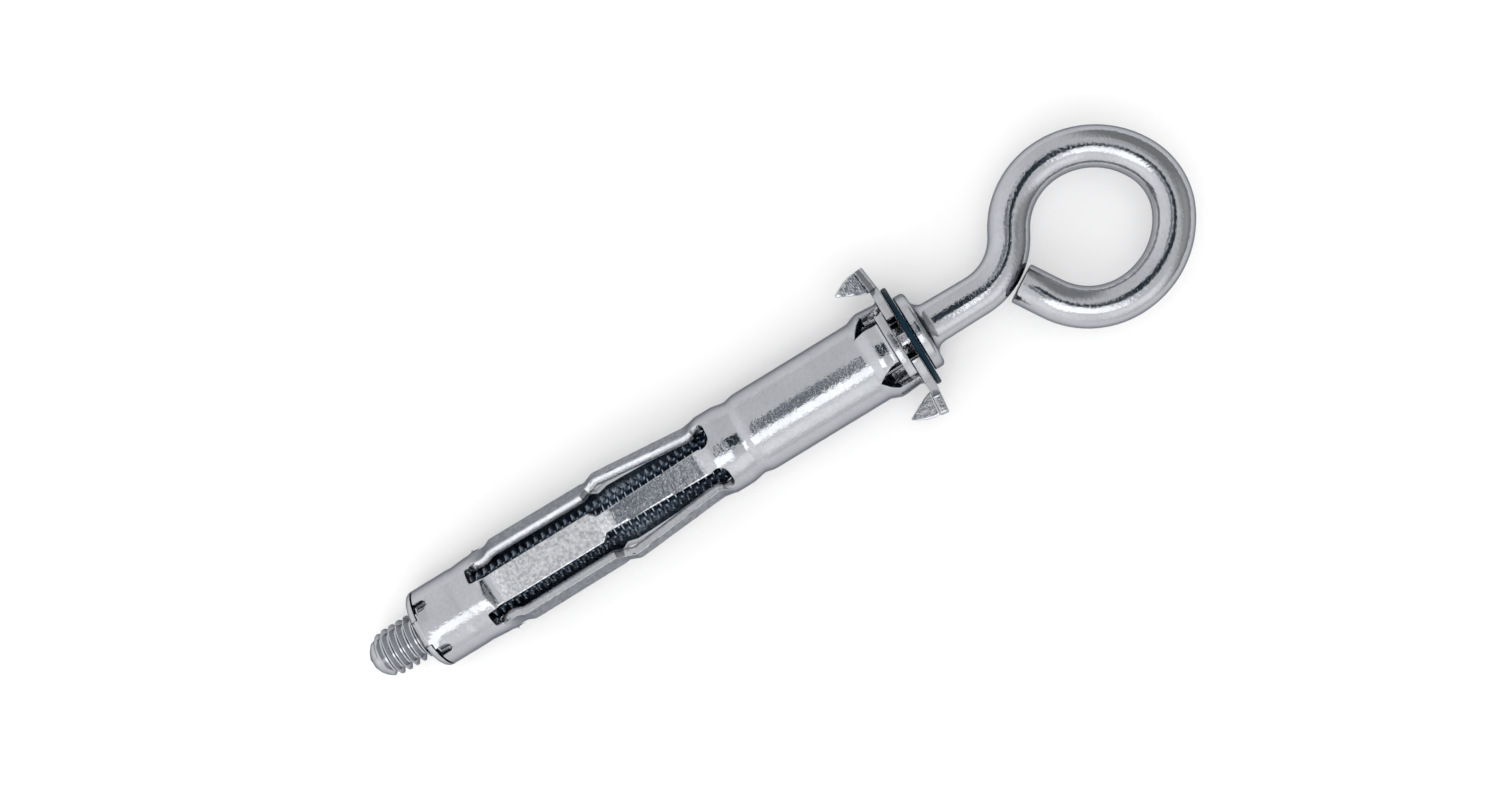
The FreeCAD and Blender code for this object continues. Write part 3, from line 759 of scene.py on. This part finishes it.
@dataclass
class EyeBolt:
    """The bolt: rolled M4 thread, blank shank, upset collar and bent eye, all one piece of wire.

    Sizes are millimetres, and places along the wire count from its tip. The eye's end is a list of
    moves after the last bend, each with the scale of the ring that it makes.
    """

    tip: float = -4.46
    tip_curve: Line = ((0.0, 0.45), (0.06, 0.78), (0.24, 1.10), (0.57, 1.46),
                       (0.95, 1.74), (1.35, 1.90), (1.9, 1.98))
    crest: float = 1.98
    root: float = 1.57
    pitch: float = 0.70
    root_flat: float = 0.14
    crest_flat: float = 0.09
    thread_length: float = 40.0
    run_out: float = 1.2
    spare_turns: int = 2
    steps_per_turn: int = 40
    # Painted shade: between these places from the tip, the thread gets the darker bluish zinc where the
    # tube covers it.
    painted_shade_span: Point = (0.9, 37.0)
    blank_start: float = 40.4
    wire: float = 1.75
    length: float = 51.0
    collar: float = 3.31
    collar_thick: float = 0.97
    collar_round: float = 0.38
    collar_corner: float = 0.14
    collar_fillet: float = 0.85
    taper: float = 4.2
    eye_wire: float = 1.68
    neck_bend: float = 5.25
    eye_reach: float = 15.97
    eye_radius: float = 6.24
    eye_side: float = 6.93
    eye_nose: float = 5.34
    eye_end_angle: float = 31.7
    eye_end: Line = ((2.64, 1.0), (0.08, 0.97), (0.04, 0.90))
    degrees_per_step: float = 4.0

    def add_thread(self, mesh: BMesh) -> list[BMEdge]:
        """Wind the thread from its tip to its run-out, and give the ring where the shank begins."""
        flank = (self.pitch - self.root_flat - self.crest_flat) / 2
        tooth = [(0.0, self.root), (self.root_flat, self.root), (self.root_flat + flank, self.crest),
                 (self.root_flat + flank + self.crest_flat, self.crest), (self.pitch, self.root)]
        turns = ceil(self.thread_length / self.pitch) + 2 * self.spare_turns
        start = -self.spare_turns * self.pitch
        verts = [mesh.verts.new((start + along, 0, radius)) for along, radius in tooth]
        edges = [mesh.edges.new(pair) for pair in zip(verts, verts[1:])]
        bmesh.ops.spin(mesh, geom=verts + edges, cent=(0, 0, 0), axis=(-1, 0, 0),
                       angle=2 * pi * turns, dvec=(self.pitch / self.steps_per_turn, 0, 0),
                       steps=turns * self.steps_per_turn, use_duplicate=False)
        bmesh.ops.remove_doubles(mesh, verts=mesh.verts, dist=1e-3)
        run_from = self.thread_length - self.run_out
        for vertex in mesh.verts:
            along, radius = vertex.co.x, vertex.co.yz.length
            limit = follow(self.tip_curve, along)
            blend = min(max((along - run_from) / self.run_out, 0.0), 1.0)
            wanted = min(radius, limit) * (1 - blend) + self.wire * blend
            vertex.co.yz = vertex.co.yz * (wanted / radius)
        point = bisect(mesh, (0, 0, 0), (-1, 0, 0), 1e-4, clear_outer=True)
        ring = bisect(mesh, (self.blank_start, 0, 0), (1, 0, 0), 1e-4, clear_outer=True)
        bmesh.ops.contextual_create(mesh, geom=point)
        return ring

    def stem_line(self) -> list[Point]:
        """The outline of shank and collar, as radius along the axis."""
        top = self.length + self.collar_thick
        return rounded([(self.blank_start, self.wire), (self.length, self.wire),
                        (self.length, self.collar, self.collar_corner),
                        (top, self.collar, self.collar_round), (top, self.wire, self.collar_fillet),
                        (top + self.taper, self.eye_wire), (self.arcs()[0][0].x, self.eye_wire)],
                       steps=6)

    def arcs(self) -> list[tuple[Vector, float]]:
        """The bends of the wire: centre of each arc, and its angle about +Z."""
        centre = Vector((self.length + self.eye_reach, 0, 0))
        run = sqrt((self.neck_bend + self.eye_radius) ** 2 - self.neck_bend ** 2)
        bend = centre + Vector((-run, self.neck_bend, 0))
        bend_angle = atan2(run, self.neck_bend)
        lift = self.eye_side - self.eye_radius
        nose = centre + Vector((sqrt((self.eye_side - self.eye_nose) ** 2 - lift ** 2), 0, 0))
        turn = atan2(lift, nose.x - centre.x)
        end = pi / 2 - radians(self.eye_end_angle)
        return [(bend, bend_angle), (centre, -bend_angle),
                (centre - Vector((0, lift, 0)), turn - pi / 2), (nose, -2 * turn),
                (centre + Vector((0, lift, 0)), turn - pi / 2), (centre, -end)]

    def add_eye(self, mesh: BMesh, ring: list[BMEdge]) -> None:
        """Bend the wire round the eye and close its cut end."""
        for centre, angle in self.arcs():
            steps = max(6, round(abs(angle) / radians(self.degrees_per_step)))
            out = bmesh.ops.spin(mesh, geom=ring, cent=centre, axis=(0, 0, 1), dvec=(0, 0, 0),
                                 angle=angle, steps=steps, use_duplicate=False)["geom_last"]
            ring = picked(out, BMEdge)
        end = radians(180 + self.eye_end_angle)
        outwards = Vector((cos(end), sin(end), 0))
        onwards = Vector((sin(end), -cos(end), 0))
        last = centre + outwards * self.eye_radius
        for move, scale in self.eye_end:
            ring = draw_on(mesh, ring, onwards * move, (scale, scale, scale), last)
            last += onwards * move
        bmesh.ops.contextual_create(mesh, geom=ring)

    def build(self, axis: AnchorAxis, materials: Sequence[Material]) -> Object:
        """Build the bolt in the wire's finish, with painted shade (a darker bluish zinc) on the thread
        where the tube covers it.
        """
        mesh = bmesh.new()
        ring = self.add_thread(mesh)
        line = self.stem_line()
        for (start, thick), (end, thin) in zip(line, line[1:]):
            ring = draw_on(mesh, ring, (end - start, 0, 0), (1, thin / thick, thin / thick))
        self.add_eye(mesh, ring)
        bmesh.ops.remove_doubles(mesh, verts=mesh.verts, dist=1e-4)
        bmesh.ops.recalc_face_normals(mesh, faces=mesh.faces)
        bmesh.ops.translate(mesh, verts=mesh.verts, vec=(self.tip, 0, 0))
        low, high = self.painted_shade_span
        for face in mesh.faces:
            face.material_index = 1 if low < face.calc_center_median().x < high else 0
        return Piece("eye_bolt_wire", Body.BOLT, "bolt_wire", "eye_bolt").make(
            mesh, axis, materials, smooth_angle=38)


def linear(colour: str) -> tuple[float, float, float, float]:
    """A colour written as sRGB hex, as the linear values that the shaders take."""
    parts = [int(colour[i:i + 2], 16) / 255 for i in (1, 3, 5)]
    values = [part / 12.92 if part <= 0.04045 else ((part + 0.055) / 1.055) ** 2.4 for part in parts]
    return (*values, 1.0)


def add_node(tree: NodeTree, kind: str, settings: Optional[dict] = None,
             links: Optional[dict] = None) -> Node:
    """Add a node to a tree.

    Args:
        tree: the node tree.
        kind: the node's type, without the ShaderNode before it.
        settings: properties by name, and values of input sockets by their name or number.
        links: output sockets by the name or number of the input that they feed.

    Returns:
        The node.
    """
    node = tree.nodes.new(f"ShaderNode{kind}")
    for key, value in (settings or {}).items():
        if isinstance(key, int) or key in node.inputs:
            node.inputs[key].default_value = value
        else:
            setattr(node, key, value)
    for key, socket in (links or {}).items():
        tree.links.new(socket, node.inputs[key])
    return node


def noise(tree: NodeTree, size_mm: float, detail: float, roughness: float = 0.5) -> NodeSocket:
    """Noise of a size in millimetres that sticks to the object, with values about a half."""
    place = add_node(tree, "TexCoord")
    settings = {"Scale": 1 / (size_mm * MM), "Detail": detail, "Roughness": roughness}
    return add_node(tree, "TexNoise", settings, {"Vector": place.outputs["Object"]}).outputs["Fac"]


def between(tree: NodeTree, first: str, second: str, share: NodeSocket) -> NodeSocket:
    """A colour that goes from the first hex colour to the second with a share from 0 to 1."""
    settings = {"data_type": "RGBA", 6: linear(first), 7: linear(second)}
    return add_node(tree, "Mix", settings, {0: share}).outputs[2]


def remap(tree: NodeTree, value: NodeSocket, span: Point,
          ends: Point = (0.0, 1.0), kind: str = "LINEAR") -> NodeSocket:
    """A value moved from a span to another and held at its ends."""
    settings = {"interpolation_type": kind, "From Min": span[0], "From Max": span[1],
                "To Min": ends[0], "To Max": ends[1]}
    return add_node(tree, "MapRange", settings, {"Value": value}).outputs["Result"]


def product(tree: NodeTree, *values: NodeSocket) -> NodeSocket:
    """The product of several values."""
    total = values[0]
    for value in values[1:]:
        total = add_node(tree, "Math", {"operation": "MULTIPLY"}, {0: total, 1: value}).outputs[0]
    return total


@dataclass(frozen=True)
class Finish:
    """What every finish has in common: its name and how its material is put together."""

    name: str

    def surface(self, tree: NodeTree) -> tuple[dict, dict]:
        """Add the finish's own nodes, and give the shader's constants and the sockets that feed it."""
        raise NotImplementedError

    def make(self) -> Material:
        """Make the material."""
        material = bpy.data.materials.new(self.name)
        material.use_nodes = True
        tree = material.node_tree
        tree.nodes.clear()
        shader = add_node(tree, "BsdfPrincipled", *self.surface(tree))
        add_node(tree, "OutputMaterial", {}, {"Surface": shader.outputs["BSDF"]})
        return material


@dataclass(frozen=True)
class ZincPlate(Finish):
    """Bright electroplated zinc on steel: a bluish silver metal, grained by rolling and plating.

    The grain breaks reflections up into specks, and the plating is a little duller in soft patches.
    Towards a grazing view zinc darkens before it brightens, which the edge tint gives. Between the
    places given by pressed, in metres, the sheet was pressed flat and is mottled like orange peel.
    """

    bright: str = "#BABCC0"
    dull: str = "#9EA0A5"
    edge_tint: str = "#93959B"
    roughness: float = 0.10
    rough_spread: Point = (-0.03, 0.05)
    grain_mm: float = 0.30
    grain_height_mm: float = 0.020
    cloud_mm: float = 1.6
    cloud_span: Point = (0.3, 0.7)
    grain_share: float = 0.45
    pressed: Point = (0.0, 0.0)
    pressed_soft_mm: float = 0.3
    peel_span: Point = (0.34, 0.66)
    peel_bright: str = "#C9CBCE"
    peel_dull: str = "#9EA0A5"

    def press_mask(self, tree: NodeTree) -> NodeSocket:
        """1 where the sheet was pressed flat and 0 elsewhere, with soft borders."""
        middle, reach = sum(self.pressed) / 2, (self.pressed[1] - self.pressed[0]) / 2
        soft = self.pressed_soft_mm * MM
        place = add_node(tree, "TexCoord")
        along = add_node(tree, "SeparateXYZ", {}, {0: place.outputs["Object"]})
        off = add_node(tree, "Math", {"operation": "SUBTRACT", 1: middle}, {0: along.outputs["X"]})
        away = add_node(tree, "Math", {"operation": "ABSOLUTE"}, {0: off.outputs[0]})
        return remap(tree, away.outputs[0], (reach + soft, reach - soft))

    def surface(self, tree: NodeTree) -> tuple[dict, dict]:
        """Add the grain and the patches, in tone, roughness and relief."""
        grain = noise(tree, self.grain_mm, 2.0, 0.6)
        cloud = noise(tree, self.cloud_mm, 4.0)
        specks = add_node(tree, "Mix", {"data_type": "FLOAT", 0: self.grain_share},
                          {2: cloud, 3: grain})
        tone = between(tree, self.bright, self.dull, specks.outputs[0])
        if self.pressed[1] > self.pressed[0]:
            mottle = between(tree, self.peel_bright, self.peel_dull,
                             remap(tree, grain, self.peel_span))
            tone = add_node(tree, "Mix", {"data_type": "RGBA"},
                            {0: self.press_mask(tree), 6: tone, 7: mottle}).outputs[2]
        low, high = (self.roughness + change for change in self.rough_spread)
        bump = add_node(tree, "Bump", {"Strength": 1.0, "Distance": self.grain_height_mm * MM},
                        {"Height": grain})
        return {"Metallic": 1.0, "Specular Tint": linear(self.edge_tint)}, {
            "Base Color": tone, "Roughness": remap(tree, cloud, self.cloud_span, (low, high)),
            "Normal": bump.outputs["Normal"]}


@dataclass(frozen=True)
class MouldedPlastic(Finish):
    """Moulded polyethylene in a blue-black colour: a smooth, slightly waxy sheen with a fine grain."""

    colour: str = "#041C29"
    light: str = "#0A2B3C"
    roughness: float = 0.5
    gloss: float = 0.12
    grain_mm: float = 0.4
    grain_height_mm: float = 0.02

    def surface(self, tree: NodeTree) -> tuple[dict, dict]:
        """Add the grain, in tone and relief."""
        grain = noise(tree, self.grain_mm, 3.0)
        bump = add_node(tree, "Bump", {"Strength": 0.3, "Distance": self.grain_height_mm * MM},
                        {"Height": grain})
        return {"Roughness": self.roughness, "IOR": 1.51, "Specular IOR Level": self.gloss}, {
            "Base Color": between(tree, self.colour, self.light, grain),
            "Normal": bump.outputs["Normal"]}


@dataclass(frozen=True)
class MattCard(Finish):
    """A plain matt surface of the studio, which isn't part of the object."""

    colour: str
    roughness: float = 1.0

    def surface(self, tree: NodeTree) -> tuple[dict, dict]:
        """Give the card's colour."""
        return {"Base Color": linear(self.colour), "Roughness": self.roughness}, {}


@dataclass(frozen=True)
class Board:
    """A board over the anchor, beside and round the camera, where polished metal mirrors it.

    Its sizes are millimetres of the anchor's own frame: the span along the axis and the one across it.
    """

    name: str
    colour: str
    along: Point
    across: Point = (-15.0, 69.0)

    def hang(self, axis: AnchorAxis, height: float) -> None:
        """Hang the board at a height over the anchor's axis, unseen by the camera itself."""
        mesh = bmesh.new()
        (left, right), (low, high) = self.along, self.across
        bmesh.ops.create_grid(mesh, x_segments=1, y_segments=1, size=0.5)
        bmesh.ops.scale(mesh, verts=mesh.verts, vec=(right - left, high - low, 1))
        bmesh.ops.translate(mesh, verts=mesh.verts, vec=((left + right) / 2, (low + high) / 2, height))
        bmesh.ops.transform(mesh, verts=mesh.verts, matrix=axis.matrix)
        board = mesh_object(self.name, mesh)
        board.data.materials.append(MattCard(f"{self.name}_card", self.colour).make())
        board.visible_camera = False
        board.visible_shadow = False
        board.visible_diffuse = False


@dataclass(frozen=True)
class Lamp:
    """A soft rectangular lamp that points at the anchor. Its place and size are in metres."""

    name: str
    place: tuple[float, float, float]
    size: Point
    power: float
    mirrored: bool = True

    def hang(self) -> None:
        """Hang the lamp."""
        data = bpy.data.lights.new(self.name, "AREA")
        data.shape = "RECTANGLE"
        data.size, data.size_y = self.size
        data.energy = self.power
        lamp = link_object(self.name, data)
        lamp.location = self.place
        lamp.rotation_mode = "QUATERNION"
        lamp.rotation_quaternion = Vector((0, *self.place[1:])).to_track_quat("Z", "Y")
        lamp.visible_glossy = self.mirrored


@dataclass
class Studio:
    """A plain pale floor, soft light and a camera where the photograph was taken from.

    The camera's places are millimetres of the own frame. The tent's light has a level, and changes
    between two values of a direction's X, Y or Z.
    """

    distance: float = 155.6
    foot: float = 46.35
    aim: float = 32.75
    aim_side: float = 2.31
    roll: float = 31.45
    focal_px: float = 1965.0
    image_width: float = 1500.0
    sensor: float = 36.0
    clip: Point = (0.001, 10.0)
    floor_half: float = 1.5
    tent: float = 0.98
    belt: float = 0.55
    belt_top: Point = (0.95, 0.60)
    belt_foot: Point = (0.05, 0.50)
    belt_back: Point = (-0.14, 0.06)
    belt_left: Point = (-0.32, -0.12)
    belt_left_share: float = 0.3
    eye_side: float = 0.38
    eye_span: Point = (0.25, 0.60)
    tip_side: float = 1.14
    tip_spans: Line = ((-0.35, -0.05), (-0.75, -0.35))
    board_gap: float = 4.0
    boards: tuple[Board, ...] = (Board("grey_board", "#7F858E", (12.0, 37.5)),
                                 Board("camera_hood", "#263541", (49.0, 92.0)))
    lamps: tuple[Lamp, ...] = (
        Lamp("soft_box", (-0.15, -0.21, 0.56), (0.40, 0.25), 0.40),
        Lamp("floor_fill", (0.0, 0.0, 0.50), (0.25, 0.25), 0.42, mirrored=False))

    def add_camera(self, axis: AnchorAxis) -> None:
        """Set the camera over the anchor, turned so that the axis climbs to the right."""
        data = bpy.data.cameras.new("camera")
        data.sensor_width = self.sensor
        data.lens = self.focal_px / self.image_width * self.sensor
        data.clip_start, data.clip_end = self.clip
        camera = link_object("camera", data)
        place = axis.point(self.foot, 0, self.distance)
        back = (place - axis.point(self.aim, self.aim_side, 0)).normalized()
        along = axis.matrix.col[0].xyz.normalized()
        along = (along - back * along.dot(back)).normalized()
        side = back.cross(along)
        angle = radians(self.roll)
        right = along * cos(angle) - side * sin(angle)
        up = along * sin(angle) + side * cos(angle)
        turn = Matrix((right, up, back)).transposed().to_4x4()
        camera.matrix_world = Matrix.Translation(place) @ turn
        bpy.context.scene.camera = camera

    def add_floor(self) -> None:
        """Lay a pale matt floor under the anchor."""
        mesh = bmesh.new()
        bmesh.ops.create_grid(mesh, x_segments=1, y_segments=1, size=self.floor_half)
        floor = mesh_object("floor", mesh)
        floor.data.materials.append(MattCard("pale_floor", "#FAFAFA", 0.9).make())

    def add_tent(self) -> None:
        """Put up a tent of light, brighter in a belt on the near side and darker at the eye."""
        world = bpy.data.worlds.new("tent")
        world.use_nodes = True
        tree = world.node_tree
        tree.nodes.clear()
        place = add_node(tree, "TexCoord")
        parts = add_node(tree, "SeparateXYZ", {}, {0: place.outputs["Generated"]}).outputs

        def soft(part: str, span: Point, ends: Point = (0.0, 1.0)) -> NodeSocket:
            """A soft step of the light along one part of the direction."""
            return remap(tree, parts[part], span, ends, "SMOOTHSTEP")

        near = product(tree, soft("Z", self.belt_top), soft("Z", self.belt_foot),
                       soft("Y", self.belt_back, (1.0, 0.0)),
                       soft("X", self.belt_left, (self.belt_left_share, 1.0)))
        level = add_node(tree, "Math", {"operation": "MULTIPLY_ADD", 1: self.belt, 2: self.tent},
                         {0: near})
        level = product(tree, level.outputs[0], soft("X", self.eye_span, (1.0, self.eye_side)),
                        *(soft("X", span, (self.tip_side, 1.0)) for span in self.tip_spans))
        background = add_node(tree, "Background", {"Color": linear("#FFFFFF")}, {"Strength": level})
        add_node(tree, "OutputWorld", {}, {"Surface": background.outputs["Background"]})
        bpy.context.scene.world = world

    def build(self, axis: AnchorAxis) -> None:
        """Set the studio up."""
        self.add_camera(axis)
        self.add_floor()
        for board in self.boards:
            board.hang(axis, self.distance + self.board_gap)
        self.add_tent()
        for lamp in self.lamps:
            lamp.hang()
        bpy.context.scene.view_settings.view_transform = "Standard"


def main() -> None:
    """Build the studio and every piece, and note the sizes."""
    logging.basicConfig(level=logging.INFO, format="%(message)s")
    sleeve = SleeveSheet()
    axis = AnchorAxis.from_record(frame["record"], sleeve.length)
    Studio().build(axis)
    pressed = tuple(axis.point(place, 0, 0).x for place in (sleeve.ramp[0], sleeve.leg_end[0]))
    sheet = ZincPlate("zinc_plated_sheet", pressed=pressed).make()
    # The sheared edges are a little rougher than the rolled faces, so they gleam less.
    cut = ZincPlate("zinc_plated_cut_edge", bright="#B8BABD", dull="#96989D", roughness=0.16).make()
    # Painted shade: a darker, bluish and a little rougher copy of the zinc for the inside of the tube
    # and the thread that the tube covers, where shade falls.
    inside = ZincPlate("zinc_with_painted_shade", bright="#AAB4BF", dull="#828D99", roughness=0.20).make()
    wire = ZincPlate("zinc_plated_wire", grain_mm=0.26, grain_height_mm=0.015).make()
    sleeve.build(axis, [sheet, cut, inside])
    Nut().build(axis, ZincPlate("zinc_plated_nut").make())
    Washer().build(axis, MouldedPlastic("moulded_polyethylene").make())
    EyeBolt().build(axis, [wire, inside])


if __name__ == "__main__":
    main()
